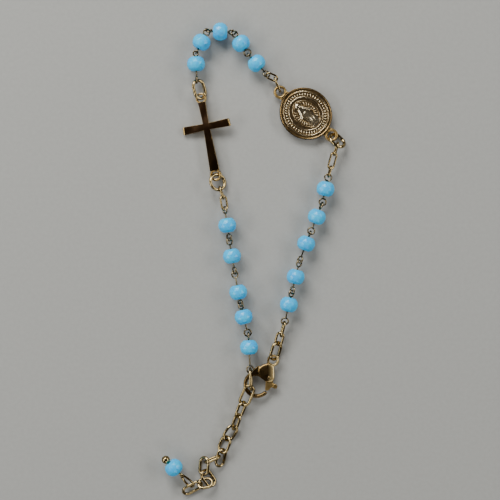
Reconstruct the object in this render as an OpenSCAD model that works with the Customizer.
// Rosary bracelet laid flat, as on a table: an open loop of faceted glass beads on eye pins,
// with a cross, an oval medal, jump rings, a lobster clasp and an extension chain with a drop bead.
// X is to the right, Y is away along the bracelet and Z is up. Z = 0 is the table.

/* [Beads] */
// Largest diameter of a bead
bead_d = 4; // [3.6:0.1:4]
// Length of a bead along its hole
bead_len = 3.1; // [2.6:0.1:3.1]
// Diameter of the flat face round each end of the hole
bead_face_d = 2.3; // [1.8:0.1:2.6]
// Diameter of the hole
bead_bore_d = 0.8; // [0.6:0.05:1]
// Facets in each row round a bead
bead_sides = 12; // [10:2:16]

/* [Wire] */
// Wire of the eye pins
pin_wire = 0.36; // [0.3:0.02:0.4]
// Radius of an eye, to the middle of its wire
eye_r = 0.75; // [0.65:0.05:0.75]
// Wire of the jump rings
ring_wire = 0.55; // [0.45:0.05:0.55]
// Wire of the small links
link_wire = 0.38; // [0.3:0.02:0.4]
// Wire of the extension chain
chain_wire = 0.45; // [0.35:0.05:0.5]

/* [Cross] */
// Thickness of the cross plate
cross_t = 0.8; // [0.6:0.1:1]
// Overall width across the arms
cross_w = 10.8; // [9:0.1:11]
// Roll of the cross about its shaft, right arm up
cross_roll = 9; // [0:1:10]

/* [Medal] */
// Longer half axis of the oval medal, through its eyelets
medal_a = 6.05; // [5.9:0.05:6.1]
// Shorter half axis of the oval medal
medal_b = 5.55; // [5:0.05:5.8]
// Thickness at the medal's rim
medal_t = 1.1; // [0.9:0.1:1.3]

/* [Clasp] */
// Radius of the hook, to the middle of its wire
hook_r = 2.6; // [2.5:0.05:2.7]
// Thickness of the hook's wire
hook_wire = 0.9; // [0.8:0.05:0.95]
// Thickness of the clasp's housing
housing_t = 1.6; // [1.4:0.1:1.8]
// Thickness of the lever
lever_t = 0.75; // [0.6:0.05:0.8]
// Diameter of the pin that the lever turns on
pivot_d = 0.6; // [0.5:0.05:0.7]

/* [Hidden] */
$fn = 32;
bore_gap = 0.04;      // radial clearance of the lever on its pin
neck_gap = 0.06;      // least gap between a bead and an eye
seat_gap = 0.05;      // gap where the lever meets the hook, and inside the housing
weld = 0.05;          // how far soldered pieces run into each other
straight_part = 0.94; // thickness of a straight run of wire, as a part of its bends

// Placed pieces of wire. Each runs from the middle of the wire at tip A to that at tip B.
TIP_A = 1;
TIP_B = 2;

// name, tip A, tip B, half width, roll about A to B with the left side up
RINGS = [
    ["cross_top_ring", [-11.45, 35.75, 1.3], [-12.45, 39.85, 1.7], 1.45, 33],
    ["cross_bottom_ring", [-8.35, 18.95, 1.3], [-7.4, 15.4, 1.5], 1.85, -31],
    ["medal_ring", [17.45, 27.75, 1.1], [20.05, 25.1, 1.7], 1.5, -42],
    ["clasp_ring", [4.5, -22.35, 1.35], [5.6, -18.45, 1.6], 1.35, 45],
    ["closing_ring", [-0.6, -24.3, 1.6], [-0.45, -29.05, 2.2], 1.4, -86],
];
TOP_LINKS = [
    ["to_pin", [2.95, 41.1, 2], [5.4, 39.95, 1.8], 0.8, 45],
    ["to_medal", [4.75, 40.4, 1.8], [6.05, 37.35, 0.95], 0.8, 90],
];
LEFT_LINKS = [
    ["to_ring", [-7.5, 16.1, 1.5], [-6.55, 13.45, 1.9], 0.75, 80],
    ["to_pin", [-6.7, 14.1, 1.9], [-6.2, 11, 2], 0.75, -30],
];
RIGHT_LINKS = [
    ["to_ring", [18.9, 25.85, 2.45], [18, 23.1, 2], 0.75, 80],
    ["middle", [18.15, 23.7, 2], [17.15, 20.1, 2], 0.75, -30],
    ["to_pin", [17.35, 20.7, 2], [16.75, 18.3, 2], 0.7, 80],
];
CLASP_LINKS = [
    ["to_pin", [7.05, -13.85, 2], [6.2, -17.15, 1.9], 0.75, 80],
    ["to_ring", [6.25, -16.3, 1.75], [5.5, -19.15, 1.5], 0.85, 20],
];
CHAIN_LINKS = [
    ["link_1", [-0.45, -28.05, 2.6], [-2.3, -32.5, 1.65], 1.15, 0],
    ["link_2", [-2.05, -31.65, 1.65], [-3.4, -35.25, 1.25], 1.3, -55],
    ["link_3", [-3.1, -34.45, 1.3], [-4.35, -37.9, 1.3], 1.15, 60],
    ["link_4", [-4, -37.1, 1.2], [-6.1, -40.3, 1.1], 1.3, -30],
    ["link_5", [-5.65, -39.5, 1.1], [-7.05, -43.1, 1.1], 1.3, 35],
    ["link_6", [-6.7, -42.3, 1], [-7.65, -46.2, 1], 1.15, -38],
    ["link_7", [-7.4, -43.8, 1.6], [-10.6, -45.15, 1.6], 1.1, 85],
    ["link_8", [-10.75, -44.1, 1], [-11.1, -48.1, 1], 1.2, 35],
    ["link_9", [-11.15, -47.15, 1], [-8.8, -50.4, 1], 1.2, -30],
    ["link_10", [-9, -49.6, 1.5], [-12.25, -50.1, 1.3], 1.15, 35],
    ["link_11", [-11.5, -49.8, 1.2], [-15.5, -52.05, 1], 1.15, -35],
];
HALF_W = 3;
LINK_ROLL = 4;

// name, tip A, tip B, distance from tip A to the bead's middle, roll of the eye at A, at B
PINS = [
    ["top_1", [-12.5, 39.15, 1.95], [-12.75, 46.27, 2.1], 4.25, -80, 0],
    ["top_2", [-12.7, 45.77, 2.1], [-9.95, 51.1, 2], 2.75, -90, 30],
    ["top_3", [-10.45, 50.8, 2], [-3.9, 50.35, 2], 3.17, -60, 60],
    ["top_4", [-4.5, 50.65, 2], [-0.8, 45.25, 2], 3.26, -30, 5],
    ["top_5", [-1.15, 45.65, 2], [3.5, 40.6, 2], 2.87, -80, -35],
    ["left_1", [-6.35, 11.65, 2], [-5.2, 4.1, 2], 4.15, 60, 50],
    ["left_2", [-5.35, 4.7, 2], [-4, -3.25, 2], 4.05, -40, 60],
    ["left_3", [-4.15, -2.65, 2], [-2.7, -10.4, 2], 4.75, -30, 45],
    ["left_4", [-2.85, -9.75, 2], [-1, -17.05, 2], 3.15, -45, 0],
    ["left_5", [-1.05, -16.25, 2], [-0.6, -25.2, 2.25], 3.3, 85, -10],
    ["right_1", [16.85, 18.9, 2], [15.3, 12, 2], 3.35, 0, 0],
    ["right_2", [15.45, 12.65, 2], [12.65, 5.6, 2], 3.45, 75, 0],
    ["right_3", [12.85, 6.25, 2], [10.2, -0.8, 2], 2.95, 85, 50],
    ["right_4", [10.4, -0.2, 2], [8.55, -7.6, 2], 3.8, -45, 55],
    ["right_5", [8.7, -6.95, 2], [6.9, -14.5, 2], 3.2, -40, 0],
];
BEAD_AT = 3;
ROLL_A = 4;
ROLL_B = 5;

// The drop at the chain's end: a ball, a bead and a large loop on one pin
DROP_BALL = [-19.35, -44.5, 2.35];
DROP_TIP = [-13.2, -50.7, 1.6];
drop_bead_at = 2.5;
drop_wire = 0.48;
drop_ball_r = 0.9;
drop_loop_len = 4.4;
drop_loop_r = 1.15;
drop_coil_len = 1.3;
drop_coil_r = 0.42;
drop_roll = 45;

// Cross: its own Y runs up the shaft, with the middle at the crossing
CROSS_AT = [-10.35, 29.5, 1.3];
cross_turn = 10.8;
shaft_top = 5.6;
shaft_foot = -9.9;
shaft_top_half = 0.83;
shaft_waist_half = 0.62;
shaft_foot_half = 1.05;
arm_root_half = 0.72;
arm_end_half = 0.9;
arm_corner = 0.35;
CROSS_TOP_EYE = [0, 6.45];
CROSS_FOOT_EYE = [0, -10.95];
// radius to the middle of the rolled rim, radius of the rim itself
TOP_EYELET = [1, 0.25];
FOOT_EYELET = [1.08, 0.28];
MEDAL_EYELET = [1.17, 0.32];
CLASP_EYELET = [1.07, 0.28];

// Medal: its own X runs through both eyelets
MEDAL_AT = [11.75, 32.45, 1.1];
medal_turn = -40;
medal_eye_reach = 7.45;
medal_sides = 48;
rim_w = 0.85;
line_w = 0.25;
band_w = 1;
field_drop = 0.22;
relief_h = 0.2;
pips = 34;
pip_r = 0.2;
rays = 22;

// Clasp: the origin is the middle of the hook's circle
CLASP_AT = [0.9, -27.85, 1.35];
hook_from = 115;
hook_to = 313;
CLASP_EYE = [3.56, 5.33];
PIVOT = [2.67, 1.44];
HOUSING = [
    [0.35, 1.85], [0.15, 2.6], [0.3, 3.7], [1.2, 4.35], [2.2, 4.72],
    [3.3, 4.7], [3.8, 3.9], [3.85, 1.4], [3.5, 0.7], [2.67, 0.42], [1.9, 0.6], [1.2, 1.2],
];
// Thinner part between the housing and the hook
SHOULDER = [
    [-2.25, 1.6], [-1.75, 2.45], [-0.8, 3.3], [0.2, 4.05], [1.5, 4.2], [1.5, 1.4],
    [0.6, 1.8], [-0.5, 1.9], [-1.3, 1.7],
];
slot_left = 1.2;
slot_top = 2.7;
slot_reach = 6;
hub_r = 0.85;
LEVER_TIP = [2.14, -1.07];
lever_tip_r = 0.38;
THUMB = [4.05, -0.45];
thumb_r = 0.5;

// Turns and moves what is drawn along Z so that it runs from a towards b
module along(a, b, roll = 0) {
    run = b - a;
    translate(a) rotate([0, acos(run.z / norm(run)), atan2(run.y, run.x)]) rotate([0, 0, roll]) children();
}

// Part of a ring in the Y-Z plane, its angles counted from +Y towards +Z
module wire_arc(r, wire, from, sweep) {
    rotate([90, 0, 90]) rotate([0, 0, from]) rotate_extrude(angle = sweep)
        translate([r, 0]) circle(d = wire);
}

// Bent link with round ends, from tip to tip
module oval_link(row, wire) {
    length = norm(row[TIP_B] - row[TIP_A]);
    half_w = min(row[HALF_W], length / 2);
    straight = length - 2 * half_w;
    along(row[TIP_A], row[TIP_B], row[LINK_ROLL]) {
        if (straight > 2 * weld) {
            translate([0, 0, length - half_w]) wire_arc(half_w, wire, 0, 180);
            translate([0, 0, half_w]) wire_arc(half_w, wire, 180, 180);
            for (side = [-1, 1]) translate([0, side * half_w, half_w - weld])
                cylinder(h = straight + 2 * weld, d = wire * straight_part);
        } else {
            translate([0, 0, length / 2]) wire_arc(length / 2, wire, 0, 360);
        }
    }
}

// Round eye whose tip is at the origin, on a wire that comes down Z from above
module eye(r, wire, roll) {
    rotate([0, 0, roll]) translate([0, 0, r]) wire_arc(r, wire, 0, 360);
}

// Radius of an eye that ends at a distance from the bead's middle: smaller where beads sit close
function eye_radius(distance) = min(eye_r, (distance - bead_len / 2 - neck_gap - pin_wire / 2) / 2);

// Straight wire through a bead with an eye at each end
module eye_pin(row) {
    length = norm(row[TIP_B] - row[TIP_A]);
    r_a = eye_radius(row[BEAD_AT]);
    r_b = eye_radius(length - row[BEAD_AT]);
    along(row[TIP_A], row[TIP_B]) {
        eye(r_a, pin_wire, row[ROLL_A]);
        translate([0, 0, 2 * r_a]) cylinder(h = length - 2 * r_a - 2 * r_b, d = pin_wire * straight_part);
        translate([0, 0, length]) mirror([0, 0, 1]) eye(r_b, pin_wire, row[ROLL_B]);
    }
}

// Faceted round bead about the origin, drilled along Z
module rondelle() {
    step = 360 / bead_sides;
    // height and radius of each row of corners, from one face to the other
    rows = [
        [-bead_len / 2, bead_face_d / 2], [-bead_len * 0.34, bead_d * 0.43], [-bead_len * 0.11, bead_d / 2],
        [bead_len * 0.11, bead_d / 2], [bead_len * 0.34, bead_d * 0.43], [bead_len / 2, bead_face_d / 2],
    ];
    last = len(rows) - 1;
    corners = [
        for (k = [0:last], i = [0:bead_sides - 1])
            let (turn = (i + (k % 2) / 2) * step)
                [rows[k][1] * cos(turn), rows[k][1] * sin(turn), rows[k][0]]
    ];
    lower = [
        for (k = [0:last - 1], i = [0:bead_sides - 1])
            let (next = (i + 1) % bead_sides, up = k % 2 == 0 ? i : next)
                [k * bead_sides + i, (k + 1) * bead_sides + up, k * bead_sides + next]
    ];
    upper = [
        for (k = [0:last - 1], i = [0:bead_sides - 1])
            let (next = (i + 1) % bead_sides, down = k % 2 == 0 ? next : i)
                [(k + 1) * bead_sides + i, (k + 1) * bead_sides + next, k * bead_sides + down]
    ];
    faces = concat(
        lower, upper,
        [[for (i = [0:bead_sides - 1]) i]],
        [[for (i = [bead_sides - 1:-1:0]) last * bead_sides + i]]
    );
    difference() {
        polyhedron(corners, faces);
        cylinder(h = bead_len + 1, d = bead_bore_d, center = true);
    }
}

module bead(row) {
    color([0.42, 0.72, 0.85]) along(row[TIP_A], row[TIP_B]) translate([0, 0, row[BEAD_AT]]) rondelle();
}

module pin(row) {
    color([0.83, 0.65, 0.32]) eye_pin(row);
}

module ring(row) {
    color([0.83, 0.65, 0.32]) oval_link(row, ring_wire);
}

module links(rows, wire) {
    color([0.8, 0.62, 0.3]) for (row = rows) oval_link(row, wire);
}

// Rolled rim round a hole
module eyelet(size) {
    rotate_extrude() translate([size[0], 0]) circle(r = size[1]);
}

module cross_outline() {
    arm = cross_w / 2;
    right = [
        [shaft_top_half, shaft_top], [shaft_waist_half, arm_root_half],
        [arm - arm_corner, arm_end_half], [arm, arm_end_half - arm_corner],
        [arm, -arm_end_half + arm_corner], [arm - arm_corner, -arm_end_half],
        [shaft_waist_half + 0.1, -arm_root_half], [shaft_foot_half, shaft_foot],
    ];
    polygon(concat(right, [for (i = [len(right) - 1:-1:0]) [-right[i].x, right[i].y]]));
}

module cross() {
    color([0.72, 0.55, 0.28]) translate(CROSS_AT) rotate([0, 0, cross_turn]) rotate([0, -cross_roll, 0]) {
        difference() {
            linear_extrude(cross_t, center = true) cross_outline();
            translate(CROSS_TOP_EYE) cylinder(h = 2 * cross_t, r = TOP_EYELET[0], center = true);
            translate(CROSS_FOOT_EYE) cylinder(h = 2 * cross_t, r = FOOT_EYELET[0], center = true);
        }
        translate(CROSS_TOP_EYE) eyelet(TOP_EYELET);
        translate(CROSS_FOOT_EYE) eyelet(FOOT_EYELET);
    }
}

// Plain oval face, its edge moved in by inset
module oval(inset = 0) {
    polygon([
        for (i = [0:medal_sides - 1])
            let (turn = 360 * i / medal_sides) [(medal_a - inset) * cos(turn), (medal_b - inset) * sin(turn)]
    ]);
}

module oval_line(inset, width, height) {
    linear_extrude(height) difference() {
        oval(inset);
        oval(inset + width);
    }
}

// Low relief: a veiled figure standing in an almond of short rays
module figure() {
    robe = [
        [3.1, 1], [1.9, 1.15], [0.3, 1.02], [-0.9, 0.78], [-1.5, 0.55], [-2.1, 0.62], [-2.7, 0.42], [-2.95, 0],
    ];
    linear_extrude(relief_h) polygon(concat(robe, [for (i = [len(robe) - 1:-1:0]) [robe[i].x, -robe[i].y]]));
    translate([-2.15, 0, 0]) cylinder(h = relief_h + 0.12, r = 0.42);
    translate([-0.35, 0, 0]) cylinder(h = relief_h + 0.1, r = 0.5);
    for (i = [0:rays - 1]) {
        turn = 360 * (i + 0.5) / rays;
        translate([3.45 * cos(turn), 2.35 * sin(turn), relief_h / 4])
            rotate([0, 0, turn]) cube([0.8, 0.14, relief_h / 2], center = true);
    }
}

module medal() {
    field_z = medal_t / 2 - field_drop;
    band_at = rim_w + line_w;
    pip_at = band_at + band_w / 2;
    color([0.74, 0.57, 0.3]) translate(MEDAL_AT) rotate([0, 0, medal_turn]) {
        translate([0, 0, -medal_t / 2]) linear_extrude(medal_t - field_drop) oval();
        translate([0, 0, field_z - weld]) {
            oval_line(0, rim_w, field_drop + weld);
            oval_line(band_at - line_w, line_w + weld, weld + field_drop * 0.7);
            oval_line(band_at + band_w, line_w, weld + field_drop * 0.7);
        }
        for (i = [0:pips - 1]) {
            turn = 360 * (i + 0.5) / pips;
            translate([(medal_a - pip_at) * cos(turn), (medal_b - pip_at) * sin(turn), field_z - weld])
                cylinder(h = weld + field_drop * 0.6, r = pip_r, $fn = 8);
        }
        translate([0, 0, field_z - weld]) figure();
        for (side = [-1, 1]) translate([side * medal_eye_reach, 0, 0]) eyelet(MEDAL_EYELET);
    }
}

module clasp_body() {
    turn_to = hook_to - hook_from;
    color([0.78, 0.6, 0.28]) translate(CLASP_AT) {
        rotate([0, 0, hook_from]) rotate_extrude(angle = turn_to) translate([hook_r, 0]) circle(d = hook_wire);
        translate([hook_r * cos(hook_to), hook_r * sin(hook_to), 0]) sphere(d = hook_wire);
        translate(CLASP_EYE) eyelet(CLASP_EYELET);
        difference() {
            union() {
                linear_extrude(housing_t, center = true) polygon(HOUSING);
                linear_extrude(hook_wire, center = true) polygon(SHOULDER);
            }
            translate([slot_left, slot_top - slot_reach, -lever_t / 2 - seat_gap])
                cube([slot_reach, slot_reach, lever_t + 2 * seat_gap]);
            translate(CLASP_EYE) cylinder(h = 2 * housing_t, r = CLASP_EYELET[0], center = true);
        }
        translate(PIVOT) cylinder(h = housing_t - weld, d = pivot_d, center = true);
    }
}

module clasp_lever() {
    arm = [
        PIVOT + [-0.72, -0.3], PIVOT + [0.8, 0.2], [3.55, 0.75], [3.5, 0], [3.3, -0.5],
        LEVER_TIP + [0.5, -0.15], LEVER_TIP + [0.1, -0.35], LEVER_TIP + [-0.34, 0],
    ];
    thumb_arm = [[3.2, 0.35], [3.6, 0.3], THUMB + [0.3, 0.3], THUMB + [-0.2, -0.42], [3, -0.6]];
    color([0.7, 0.52, 0.24]) translate(CLASP_AT) difference() {
        union() {
            translate(PIVOT) cylinder(h = lever_t, r = hub_r, center = true);
            translate(LEVER_TIP) cylinder(h = lever_t, r = lever_tip_r, center = true);
            translate(THUMB) cylinder(h = lever_t, r = thumb_r, center = true);
            linear_extrude(lever_t, center = true) polygon(arm);
            linear_extrude(lever_t - 0.1, center = true) polygon(thumb_arm);
        }
        translate(PIVOT) cylinder(h = 2 * lever_t, d = pivot_d + 2 * bore_gap, center = true);
    }
}

module drop_pin() {
    length = norm(DROP_TIP - DROP_BALL);
    neck = length - drop_loop_len;
    color([0.83, 0.65, 0.32]) along(DROP_BALL, DROP_TIP) {
        sphere(r = drop_ball_r);
        cylinder(h = length - 2 * drop_loop_r, d = drop_wire * straight_part);
        translate([0, 0, neck]) cylinder(h = drop_coil_len, r = drop_coil_r);
        translate([0, 0, length - drop_loop_r]) rotate([0, 0, drop_roll])
            wire_arc(drop_loop_r, drop_wire, 0, 360);
    }
}

module bead_drop() {
    bead(["drop", DROP_BALL, DROP_TIP, drop_bead_at]);
}

cross();
medal();
clasp_body();
clasp_lever();
for (row = RINGS) ring(row);
links(TOP_LINKS, link_wire);  // top_links
links(LEFT_LINKS, link_wire);  // left_links
links(RIGHT_LINKS, link_wire);  // right_links
links(CLASP_LINKS, link_wire);  // clasp_links
links(CHAIN_LINKS, chain_wire);  // extension_chain
drop_pin();
for (row = PINS) pin(row);
for (row = PINS) bead(row);
bead_drop();
